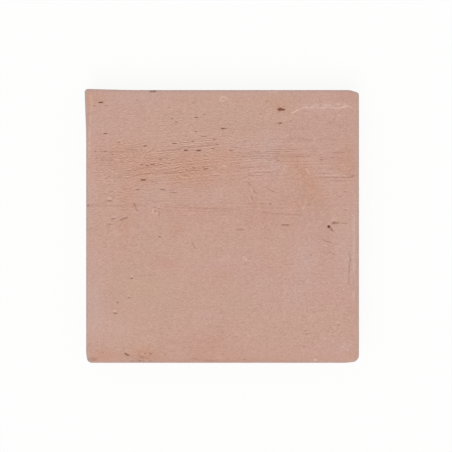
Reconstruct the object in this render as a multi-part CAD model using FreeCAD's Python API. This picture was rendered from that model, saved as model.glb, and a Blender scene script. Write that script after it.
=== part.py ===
"""Hand-moulded terracotta floor tile, one fired slab of clay.

The tile lies face up, with its back on the plane Z = 0 and the origin at the middle of its nominal square.
Seen from above with +Y away from the viewer, the back left corner is the one that was dragged outwards while
the clay was wet, and each of the other three corners has its own slump.
"""

import FreeCAD, Part
import math
import os

from FreeCAD import Vector

# Driving dimensions, in millimetres
SIDE = 200.0  # nominal side of the square
THICKNESS = 20.0  # from the back to the face

# Section through an edge
FALL_WIDTH = 1.8  # band along each edge where the wiped face falls away
FALL_DEPTH = 0.35  # how far it falls across that band
RIM_RADIUS = 1.0  # round of the arris between that band and the side
LAND_HEIGHT = 5.0  # upright part of the side, below the face
SIDE_TAPER = 0.8  # how far the side leans in from the land to the back, so that tiles can be laid close
BACK_BEVEL = 0.6  # worn edge around the back

# Back left corner: both of its edges flare outwards as they reach it
FLARE_LEFT = 1.2  # how far the left edge stands out at the corner
FLARE_LEFT_RUN = 32.0  # length of the left edge that flares
FLARE_BACK = 0.9  # how far the back edge stands out at the corner
FLARE_BACK_RUN = 32.0  # length of the back edge that flares
FLARE_BLEND_RADIUS = 400.0  # long bend into each flare
FLARE_CORNER_RADIUS = 2.5

# Back right corner: the back edge slumps towards it
SLUMP_RUN = 7.0
SLUMP_DEPTH = 2.0
SLUMP_BLEND_RADIUS = 6.0
SLUMP_CORNER_RADIUS = 2.4

# Front right corner: the front edge rises towards it
LIFT_RUN = 10.0
LIFT_DEPTH = 1.0
LIFT_BLEND_RADIUS = 25.0
LIFT_CORNER_RADIUS = 4.2

# Front left corner: the left edge leans in towards it
LEAN_RUN = 7.5
LEAN_DEPTH = 1.0
LEAN_BLEND_RADIUS = 15.0
LEAN_CORNER_RADIUS = 3.5


def outline_points():
    """Corners and bends of the tile in plan, anticlockwise from the front left, each as a point and its radius."""
    half = SIDE / 2
    return [
        (Vector(-half + LEAN_DEPTH, -half), LEAN_CORNER_RADIUS),
        (Vector(half - LIFT_RUN, -half), LIFT_BLEND_RADIUS),
        (Vector(half, -half + LIFT_DEPTH), LIFT_CORNER_RADIUS),
        (Vector(half, half - SLUMP_DEPTH), SLUMP_CORNER_RADIUS),
        (Vector(half - SLUMP_RUN, half), SLUMP_BLEND_RADIUS),
        (Vector(-half + FLARE_BACK_RUN, half), FLARE_BLEND_RADIUS),
        (Vector(-half - FLARE_LEFT, half + FLARE_BACK), FLARE_CORNER_RADIUS),
        (Vector(-half, half - FLARE_LEFT_RUN), FLARE_BLEND_RADIUS),
        (Vector(-half, -half + LEAN_RUN), LEAN_BLEND_RADIUS),
    ]


def bend(before, point, after, radius):
    """The arc of that radius that rounds a bend, as its start, middle and end."""
    to_before = (before - point).normalize()
    to_after = (after - point).normalize()
    half_angle = to_before.getAngle(to_after) / 2
    reach = radius / math.tan(half_angle)
    inward = (to_before + to_after).normalize()
    middle = point + inward * (radius / math.sin(half_angle) - radius)
    return point + to_before * reach, middle, point + to_after * reach


def outline():
    """The tile's outline in plan: straight runs joined by tangent arcs."""
    corners = outline_points()
    count = len(corners)
    bends = [
        bend(corners[i - 1][0], corners[i][0], corners[(i + 1) % count][0], corners[i][1])
        for i in range(count)
    ]
    edges = []
    for i, (start, middle, end) in enumerate(bends):
        next_start = bends[(i + 1) % count][0]
        edges.append(Part.Arc(start, middle, end).toShape())
        edges.append(Part.LineSegment(end, next_start).toShape())
    return Part.Wire(edges)


def edges_at(solid, height):
    """The solid's edges that lie level at that height."""
    slack = 1e-4
    return [
        edge
        for edge in solid.Edges
        if abs(edge.BoundBox.ZMin - height) < slack and abs(edge.BoundBox.ZMax - height) < slack
    ]


def floor_tile():
    """The slab: an upright block, then the fall and round of its rim, the taper of its sides and its back bevel."""
    slab = Part.Face(outline()).extrude(Vector(0, 0, THICKNESS))
    slab = slab.makeChamfer(FALL_DEPTH, FALL_WIDTH, edges_at(slab, THICKNESS))
    slab = slab.makeFillet(RIM_RADIUS, edges_at(slab, THICKNESS - FALL_DEPTH))
    slab = slab.makeChamfer(THICKNESS - LAND_HEIGHT, SIDE_TAPER, edges_at(slab, 0))
    slab = slab.makeChamfer(BACK_BEVEL, edges_at(slab, 0))
    return slab.Solids[0]


def main():
    """Builds the tile, prints its measures and writes it as a STEP file."""
    os.makedirs("parts", exist_ok=True)
    tile = floor_tile()
    print("valid", tile.isValid(), "faces", len(tile.Faces), "volume", round(tile.Volume), "box", tile.BoundBox)
    tile.exportStep("parts/floor_tile.step")


main()
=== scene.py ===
"""Dresses the terracotta floor tile, with its wiped and pitted face, moulded sides and flat back.

Sizes and places are in millimetres, in the tile's own frame, unless a name says otherwise. Meshes are in
metres.
"""

from __future__ import annotations

import logging
import math
from dataclasses import dataclass, replace
from enum import Enum, IntEnum

import bpy
import numpy as np
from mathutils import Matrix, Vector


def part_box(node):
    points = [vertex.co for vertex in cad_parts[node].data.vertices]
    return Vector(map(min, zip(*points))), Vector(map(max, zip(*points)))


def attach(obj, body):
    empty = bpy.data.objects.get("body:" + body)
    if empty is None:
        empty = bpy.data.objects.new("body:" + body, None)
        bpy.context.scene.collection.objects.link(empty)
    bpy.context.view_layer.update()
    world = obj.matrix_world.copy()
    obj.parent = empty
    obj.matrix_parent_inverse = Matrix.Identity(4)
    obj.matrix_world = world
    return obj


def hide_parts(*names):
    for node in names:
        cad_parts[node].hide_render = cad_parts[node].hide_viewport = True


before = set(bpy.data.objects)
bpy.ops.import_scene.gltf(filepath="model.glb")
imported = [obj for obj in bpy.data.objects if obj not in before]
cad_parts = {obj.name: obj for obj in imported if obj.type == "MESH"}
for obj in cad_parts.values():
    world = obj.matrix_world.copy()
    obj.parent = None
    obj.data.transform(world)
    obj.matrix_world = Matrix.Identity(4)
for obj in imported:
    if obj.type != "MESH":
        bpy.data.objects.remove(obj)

LOG = logging.getLogger("floor_tile")
TILE_NODE = "floor_tile"
METRES = 0.001  # one millimetre
WHITE = (1.0, 1.0, 1.0, 1.0)  # red, green, blue and alpha

Array = np.ndarray
Point = tuple[float, float]
Point3 = tuple[float, float, float]
Pair = tuple[float, float]  # two sizes, distances or shares that go together


class Tone(Enum):
    """Broad colours that the kiln gave the clay. Each value is the name of a mesh attribute."""

    SMOKE = "smoke"
    OCHRE = "ochre"
    ROSE = "rose"
    BUFF = "buff"
    LILAC = "lilac"


class Line(Enum):
    """What a line on the face is made of. Each value is the name of the mesh attribute that colours it."""

    CRACK = "crack"
    RIDGE = "chalk_and_highlight"


class Seed(IntEnum):
    """Picks a pattern for each use of the noise."""

    SWELL = 3
    GROOVE = 17
    GRAIN = 23
    STROKE = 31
    WARP_X = 41
    WARP_Y = 53
    GRIT_EDGE = 61
    PIT_EDGE = 67
    CHALK_EDGE = 73
    FLECK = 79
    SIDE_X = 83
    SIDE_Y = 89
    ARRIS = 97


# The mesh attributes that the finish reads: the marks on the face, and all of them
FACE_MASKS = ("pit", "crack", "chalk_and_highlight", "grit", "wiped", "combed")
MASKS = (*(tone.value for tone in Tone), *FACE_MASKS, "stroke", "arris", "sand")


# Noise and falloff

# Large odd numbers that scatter the bits of a hash, and its 32 bits
HASH_COLUMN = 374761393
HASH_ROW = 668265263
HASH_SEED = 974634777
HASH_MIX = 1274126177
HASH_BITS = 0xFFFFFFFF

CLOUD_PEAK = 1.5  # the layers of cloudy noise seldom add up to more


def smooth_step(value: Array, start: float, end: float) -> Array:
    """A soft step: 3t^2 - 2t^3, where t runs from 0 at start to 1 at end.

    Args:
        value: Where the step is read.
        start: Value at which the step leaves 0.
        end: Value at which it reaches 1; it may be less than start.

    Returns:
        The step, from 0 to 1.
    """
    t = np.clip((value - start) / (end - start), 0.0, 1.0)
    return t * t * (3.0 - 2.0 * t)


def lattice_noise(x: Array, y: Array, seed: int) -> Array:
    """Noise with features one unit wide: hashed values at whole numbers, joined by soft steps.

    Args:
        x: First coordinate.
        y: Second coordinate.
        seed: Picks one pattern.

    Returns:
        Noise from -1 to 1.
    """
    column = np.floor(x).astype(np.int64)
    row = np.floor(y).astype(np.int64)
    across = smooth_step(x - column, 0.0, 1.0)
    along = smooth_step(y - row, 0.0, 1.0)

    def value(i: Array, j: Array) -> Array:
        """The hashed value at whole-number points.

        Args:
            i: Their columns.
            j: Their rows.

        Returns:
            Values from -1 to 1.
        """
        mixed = (i * HASH_COLUMN + j * HASH_ROW + seed * HASH_SEED) & HASH_BITS
        mixed = ((mixed ^ (mixed >> 13)) * HASH_MIX) & HASH_BITS
        return (mixed ^ (mixed >> 16)) / 2.0**31 - 1.0

    low = value(column, row) * (1.0 - across) + value(column + 1, row) * across
    high = value(column, row + 1) * (1.0 - across) + value(column + 1, row + 1) * across
    return low * (1.0 - along) + high * along


def cloud_noise(x: Array, y: Array, seed: int, octaves: int = 4) -> Array:
    """Cloudy noise: lattice noise summed over octaves, each twice as fine and half as strong as the last.

    Args:
        x: First coordinate, in widths of the broadest feature.
        y: Second coordinate, in the same widths.
        seed: Picks one pattern.
        octaves: How many layers are summed.

    Returns:
        Noise from about -1 to 1.
    """
    total = np.zeros_like(x)
    for octave in range(octaves):
        total += lattice_noise(x * 2.0**octave, y * 2.0**octave, seed + octave) / 2.0**octave
    return total / CLOUD_PEAK


def from_zero(noise: Array) -> Array:
    """Moves noise from -1 to 1 to between 0 and 1."""
    return 0.5 + 0.5 * noise


# Marks on the face


@dataclass(frozen=True)
class Mark:
    """An oval place on the face: its middle, its length along the tilt, its width, strength and tilt."""

    x: float
    y: float
    length: float
    width: float
    strength: float
    tilt: float = 0.0  # degrees, anticlockwise from +X

    def reach(self, x: Array, y: Array) -> Array:
        """Distance from the middle in half lengths and half widths, so that 1 is the oval's edge.

        Args:
            x: Where it is read, along +X.
            y: Where it is read, along +Y.

        Returns:
            The distance, 0 in the middle.
        """
        turn = math.radians(self.tilt)
        along = (x - self.x) * math.cos(turn) + (y - self.y) * math.sin(turn)
        across = (y - self.y) * math.cos(turn) - (x - self.x) * math.sin(turn)
        return np.hypot(along * 2.0 / self.length, across * 2.0 / self.width)

    def cloud(self, x: Array, y: Array) -> Array:
        """A soft cloud over the oval: strength times exp(-d^2), where d is the oval's own distance."""
        return self.strength * np.exp(-(self.reach(x, y) ** 2))

    def near(self, x: Array, y: Array) -> Array:
        """True close to the oval: where |x| + |y| from its middle is under twice its length and width."""
        return np.abs(x - self.x) + np.abs(y - self.y) < 2.0 * (self.length + self.width)


@dataclass(frozen=True)
class Scratch:
    """A thin line through a few points."""

    points: tuple[Point, ...]
    strength: float
    width: float = 0.6
    broken: float = 0.3  # how far it is broken up along its length

    def distance(self, x: Array, y: Array) -> Array:
        """Distance to the nearest of the straight runs between its points.

        Args:
            x: Where it is read, along +X.
            y: Where it is read, along +Y.

        Returns:
            The distance.
        """
        nearest = np.full_like(x, np.inf)
        for start, end in zip(self.points[:-1], self.points[1:]):
            run_x, run_y = end[0] - start[0], end[1] - start[1]
            share = ((x - start[0]) * run_x + (y - start[1]) * run_y) / (run_x**2 + run_y**2)
            share = np.clip(share, 0.0, 1.0)
            off_x = x - start[0] - share * run_x
            off_y = y - start[1] - share * run_y
            nearest = np.minimum(nearest, np.hypot(off_x, off_y))
        return nearest

    def amount(self, x: Array, y: Array) -> Array:
        """How much of the line shows: strength times exp(-(2d/width)^2), where d is its distance."""
        return self.strength * np.exp(-((2.0 * self.distance(x, y) / self.width) ** 2))


# Open pores, drawn out along the wiping strokes
PITS = (
    Mark(-89.1, 91.0, 3.9, 1.2, 1.0, 6),
    Mark(-94.2, 88.7, 2.2, 0.9, 0.5),
    Mark(-84.7, 88.7, 3.8, 0.8, 0.35),
    Mark(-63.1, 92.7, 1.2, 1.1, 0.5),
    Mark(-98.2, 82.9, 1.1, 0.8, 0.4),
    Mark(-96.4, 82.0, 1.3, 0.8, 0.45),
    Mark(-85.8, 68.2, 2.9, 1.0, 0.9, 4),
    Mark(-90.6, 68.0, 6.0, 0.7, 0.2),
    Mark(-75.9, 61.9, 2.3, 1.2, 0.5),
    Mark(-56.6, 59.2, 2.4, 1.4, 0.6),
    Mark(-68.6, 57.3, 2.0, 0.9, 0.2),
    Mark(-59.8, 57.5, 2.6, 0.8, 0.2, 25),
    Mark(-93.1, 55.1, 1.6, 0.9, 0.35),
    Mark(-85.8, 55.1, 2.6, 0.8, 0.35),
    Mark(-80.7, 52.7, 1.3, 1.0, 0.45),
    Mark(-53.5, 62.8, 1.2, 1.0, 0.25),
    Mark(-52.6, 99.5, 1.7, 1.5, 0.8),
    Mark(-49.8, 99.5, 2.0, 1.6, 0.8),
    Mark(-51.3, 98.8, 2.4, 1.0, 0.8),
    Mark(-21.4, 90.9, 2.3, 0.9, 0.4),
    Mark(-38.5, 87.3, 3.0, 0.7, 0.25),
    Mark(-19.2, 79.9, 2.7, 1.0, 0.75),
    Mark(-36.9, 79.1, 2.3, 0.9, 0.55),
    Mark(-39.5, 79.9, 1.3, 0.7, 0.3),
    Mark(-33.8, 76.6, 2.7, 1.0, 0.6, -20),
    Mark(-13.4, 82.2, 1.5, 1.3, 0.3),
    Mark(-19.3, 69.6, 2.0, 1.1, 0.5, -15),
    Mark(-14.0, 66.1, 5.0, 1.0, 0.45, -4),
    Mark(-5.9, 64.1, 2.7, 1.2, 0.5),
    Mark(-21.8, 62.6, 1.9, 1.4, 0.5),
    Mark(-35.0, 60.9, 3.2, 0.9, 0.6),
    Mark(-3.8, 60.4, 1.9, 1.0, 0.45, -20),
    Mark(-26.8, 56.0, 3.3, 1.5, 0.8, 4),
    Mark(-17.3, 55.9, 3.9, 1.5, 0.9, 4),
    Mark(-6.5, 57.4, 1.9, 0.9, 0.45),
    Mark(-45.5, 49.4, 2.9, 1.3, 0.5),
    Mark(-59.1, 45.6, 3.1, 0.9, 0.5, 6),
    Mark(-55.2, 44.8, 2.5, 1.1, 0.55),
    Mark(-51.0, 45.7, 3.5, 1.2, 0.6, 8),
    Mark(-20.9, 43.2, 2.7, 1.2, 0.5, -8),
    Mark(-12.2, 42.3, 3.3, 1.2, 0.6),
    Mark(-19.5, 41.0, 1.3, 1.0, 0.3),
    Mark(-5.2, 43.1, 3.2, 0.8, 0.3),
    Mark(-57.9, 34.3, 4.1, 1.5, 0.9, 2),
    Mark(-62.3, 27.2, 2.9, 1.0, 0.6, 6),
    Mark(-71.9, 27.1, 1.3, 1.0, 0.3),
    Mark(-83.0, 18.9, 4.4, 1.3, 0.45),
    Mark(-80.3, 5.8, 3.5, 1.1, 0.5, 14),
    Mark(-74.0, 5.0, 2.4, 1.2, 0.5),
    Mark(-71.6, 6.3, 5.0, 1.9, 0.4, 14),
    Mark(-82.9, 1.8, 2.3, 1.1, 0.45),
    Mark(-96.4, -1.4, 2.5, 0.9, 0.3),
    Mark(-98.3, -2.3, 1.4, 0.9, 0.3),
    Mark(-45.9, -7.5, 2.5, 1.2, 0.6, -20),
    Mark(-66.5, -37.8, 1.9, 1.3, 0.7),
    Mark(-68.6, -52.0, 1.7, 1.2, 0.6),
    Mark(-76.8, -55.6, 1.4, 1.4, 0.65),
    Mark(-78.8, -63.4, 3.1, 1.2, 0.55, 5),
    Mark(-69.8, -93.7, 4.2, 1.7, 0.8, -30),
    Mark(-97.6, -86.4, 1.1, 1.0, 0.35),
    Mark(-87.6, -92.2, 1.1, 1.0, 0.35),
    Mark(0.3, 71.9, 3.0, 1.3, 0.9),
    Mark(2.4, 72.1, 4.0, 0.8, 0.4),
    Mark(49.9, 77.4, 0.9, 1.5, 0.4),
    Mark(77.8, 0.1, 2.0, 2.3, 0.95),
    Mark(46.0, 1.3, 6.0, 1.2, 0.6, -3),
    Mark(12.9, -1.9, 6.8, 1.9, 0.3),
    Mark(64.8, -20.8, 2.1, 0.9, 0.4),
    Mark(61.5, -78.6, 2.1, 1.1, 0.35, -15),
    Mark(46.1, -78.1, 1.6, 0.9, 0.25),
    Mark(59.6, -87.8, 1.8, 1.2, 0.35, -45),
    Mark(85.3, -71.9, 2.1, 1.2, 0.35),
    Mark(6.4, 55.8, 3.2, 1.2, 0.55),
    Mark(28.1, 82.4, 1.7, 0.9, 0.45),
    Mark(32.7, 92.2, 1.7, 0.8, 0.3),
    Mark(16.8, 73.3, 1.0, 1.0, 0.35),
    Mark(16.8, 63.0, 0.9, 1.4, 0.35),
    Mark(18.7, 76.3, 1.2, 1.0, 0.3),
    Mark(5.6, 74.7, 1.3, 1.0, 0.3),
    Mark(7.5, 69.0, 1.3, 1.0, 0.3),
    Mark(72.5, 49.1, 3.2, 1.0, 0.4),
    Mark(71.9, 47.4, 1.2, 0.8, 0.25),
    Mark(95.2, 37.3, 2.5, 1.1, 0.4),
    Mark(89.9, 25.8, 1.4, 1.1, 0.35, 30),
    Mark(83.5, 25.0, 1.1, 1.0, 0.3),
    Mark(86.1, 22.3, 2.2, 0.9, 0.3),
    Mark(29.4, 17.0, 1.1, 1.0, 0.35),
    Mark(35.0, 16.7, 1.4, 1.0, 0.35),
    Mark(36.8, 25.9, 2.8, 0.9, 0.3, -25),
    Mark(55.1, 44.2, 1.2, 1.0, 0.3),
    Mark(41.2, 48.6, 1.9, 0.7, 0.25),
    Mark(93.6, -24.2, 1.0, 2.4, 0.2),
    Mark(-43.6, 27.1, 3.8, 0.9, 0.5),
    Mark(-36.3, 27.1, 2.6, 0.9, 0.35),
    Mark(-35.2, 25.0, 4.0, 0.8, 0.35),
    Mark(33.7, -2.2, 1.8, 0.9, 0.3),
    Mark(31.2, -0.2, 1.5, 0.9, 0.25),
    Mark(-61.9, -94.5, 1.6, 1.0, 0.5),
    Mark(-59.8, -95.8, 1.3, 1.2, 0.5),
    Mark(-57.9, -95.8, 1.8, 1.0, 0.5),
    Mark(-56.8, -92.5, 1.2, 0.9, 0.4),
    Mark(-52.5, -93.0, 2.2, 0.9, 0.4),
    Mark(-60.7, -98.2, 1.6, 1.0, 0.5),
    Mark(-47.0, -95.5, 2.0, 0.9, 0.4),
    Mark(-42.0, -93.6, 2.4, 0.8, 0.3),
    Mark(-74.9, -96.1, 1.2, 0.9, 0.35),
    Mark(77.5, -76.5, 1.4, 1.0, 0.3),
    Mark(80.5, -79.5, 1.2, 1.0, 0.25),
    Mark(61.0, -76.0, 1.6, 0.9, 0.3),
)

# Lumps of iron-rich grit that fired to a dark red-brown, and faint stains of it near the edges
GRITS = (
    Mark(42.0, 85.8, 4.4, 2.9, 0.9),
    Mark(43.5, 85.6, 5.6, 2.1, 0.9, -3),
    Mark(42.3, 75.6, 3.4, 1.8, 0.65),
    Mark(39.6, 75.4, 3.4, 0.9, 0.2),
    Mark(78.0, 0.0, 1.9, 2.3, 0.9, 20),
    Mark(79.7, -2.0, 5.2, 2.1, 0.45, -50),
    Mark(81.7, 2.7, 4.0, 2.2, 0.55),
    Mark(84.0, 2.6, 4.0, 1.0, 0.6),
    Mark(88.5, 2.3, 7.0, 0.8, 0.35, -4),
    Mark(-58.0, -98.6, 26.0, 2.0, 0.22),
    Mark(-95.0, -97.4, 9.0, 3.4, 0.25),
    Mark(-98.6, 15.2, 2.6, 1.4, 0.35),
    Mark(16.4, -97.5, 2.1, 1.3, 0.4),
    Mark(-8.0, -98.6, 16.0, 1.6, 0.25, -4),
    Mark(-20.0, -97.0, 9.0, 1.6, 0.2, -6),
    Mark(0.0, -99.0, 196.0, 3.2, 0.1),
)

# Pale bits: bruised clay, lime, faint blooms, and painted highlights on the lit lips of some pits
CHALKS_AND_HIGHLIGHTS = (
    Mark(68.2, -97.8, 2.0, 1.4, 1.0),
    Mark(88.6, -46.2, 1.2, 1.1, 0.75),
    Mark(73.6, -40.4, 1.4, 1.0, 0.4),
    Mark(78.0, -41.0, 1.4, 1.0, 0.35),
    Mark(84.9, 81.2, 4.5, 2.2, 0.15),
    Mark(34.5, 98.4, 2.4, 1.4, 0.45),
    Mark(38.5, 98.6, 2.6, 1.2, 0.4),
    Mark(1.7, 44.2, 3.4, 0.9, 0.45, -30),
    Mark(45.0, 57.4, 1.6, 1.4, 0.35),
    # painted highlights on the lit lips of the pits beside them
    Mark(-66.9, -36.2, 1.6, 1.0, 0.5),
    Mark(-78.9, -61.7, 3.2, 1.1, 0.5),
    Mark(-91.9, -51.3, 4.0, 2.0, 0.2),
    Mark(15.2, -22.6, 2.0, 1.3, 0.45),
    Mark(17.3, -24.3, 3.0, 1.5, 0.5),
    Mark(84.6, -70.2, 1.6, 0.9, 0.5),
    Mark(75.5, -82.0, 2.0, 0.9, 0.4),
    Mark(80.6, -84.0, 2.2, 1.0, 0.4),
    Mark(88.0, -88.2, 2.2, 1.2, 0.45),
    Mark(91.2, -90.4, 1.8, 1.1, 0.45),
    Mark(93.4, -86.8, 1.6, 1.0, 0.4),
    Mark(63.5, -80.6, 1.5, 0.8, 0.35),
    Mark(68.8, -83.5, 1.6, 0.9, 0.3),
    # painted highlight on the lit lip of the pit beside it
    Mark(-82.6, 20.6, 3.8, 1.3, 0.45),
    Mark(-79.9, 7.0, 3.6, 0.8, 0.45, 14),
    Mark(-83.0, 3.2, 2.0, 0.8, 0.3),
    Mark(-48.3, 12.3, 1.2, 1.1, 0.4),
    Mark(-64.6, 18.0, 1.3, 1.2, 0.4),
    Mark(95.6, -2.0, 1.2, 1.6, 0.45),
    Mark(32.4, -1.0, 1.6, 0.9, 0.35),
    Mark(-69.5, -90.5, 2.0, 1.0, 0.35),
    Mark(-54.5, -93.9, 1.6, 1.0, 0.4),
    Mark(-55.6, -98.4, 2.4, 1.0, 0.4),
    Mark(-58.6, -93.4, 1.2, 0.9, 0.35),
    Mark(90.1, -25.0, 1.6, 1.2, 0.35),
    Mark(92.0, -23.6, 1.2, 1.0, 0.35),
    Mark(94.5, -24.9, 1.2, 1.4, 0.4),
    Mark(-62.0, -95.4, 1.5, 1.0, 0.3),
    # painted highlights on the lit lips of the pits beside them
    Mark(28.4, 80.7, 2.2, 0.8, 0.4),
    Mark(-19.3, 67.8, 1.8, 0.7, 0.35),
    Mark(-2.0, -96.0, 6.0, 1.6, 0.2),
    Mark(-82.0, -73.0, 40.0, 26.0, 0.06),
    Mark(81.5, 5.0, 7.0, 3.5, 0.15, 30),
)

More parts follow.
